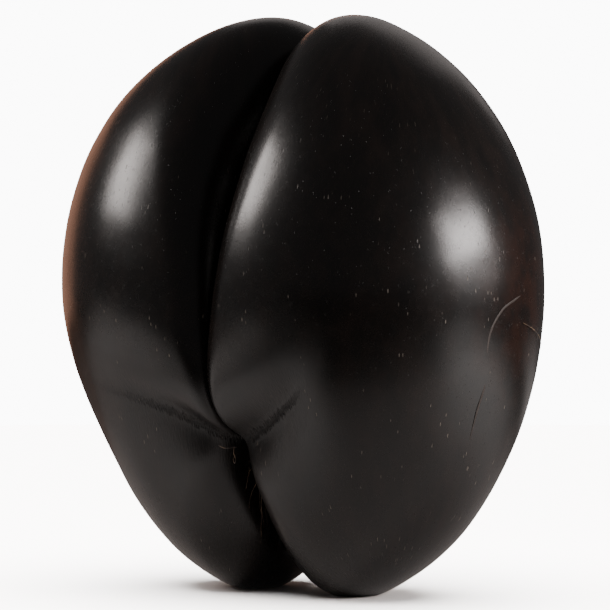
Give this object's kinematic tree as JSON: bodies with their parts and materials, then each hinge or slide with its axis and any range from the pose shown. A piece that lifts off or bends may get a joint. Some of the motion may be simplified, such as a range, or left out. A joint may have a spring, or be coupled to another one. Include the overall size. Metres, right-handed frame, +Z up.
{
  "type": "coco de mer seed",
  "caption": "Polished double-lobed coco de mer seed, nearly black, with a deep cleft between rounded cheeks, a fold below each cheek and a slot between the lobe tips it stands on.",
  "frame": {"origin": "on the surface the seed stands on, under the middle of its bounding box", "axes": "+Z up from the lobe tips to the crown, +X to the right lobe as seen from the cheek side, -Y out of the cheek side with the deep cleft, +Y out of the domed belly side"},
  "size_m": [0.268, 0.1914, 0.2994],
  "materials": {
    "seed": "polished dark brown-black shell with fine pores"
  },
  "bodies": {
    "root": {"seed": "seed"}
  },
  "joints": []
}
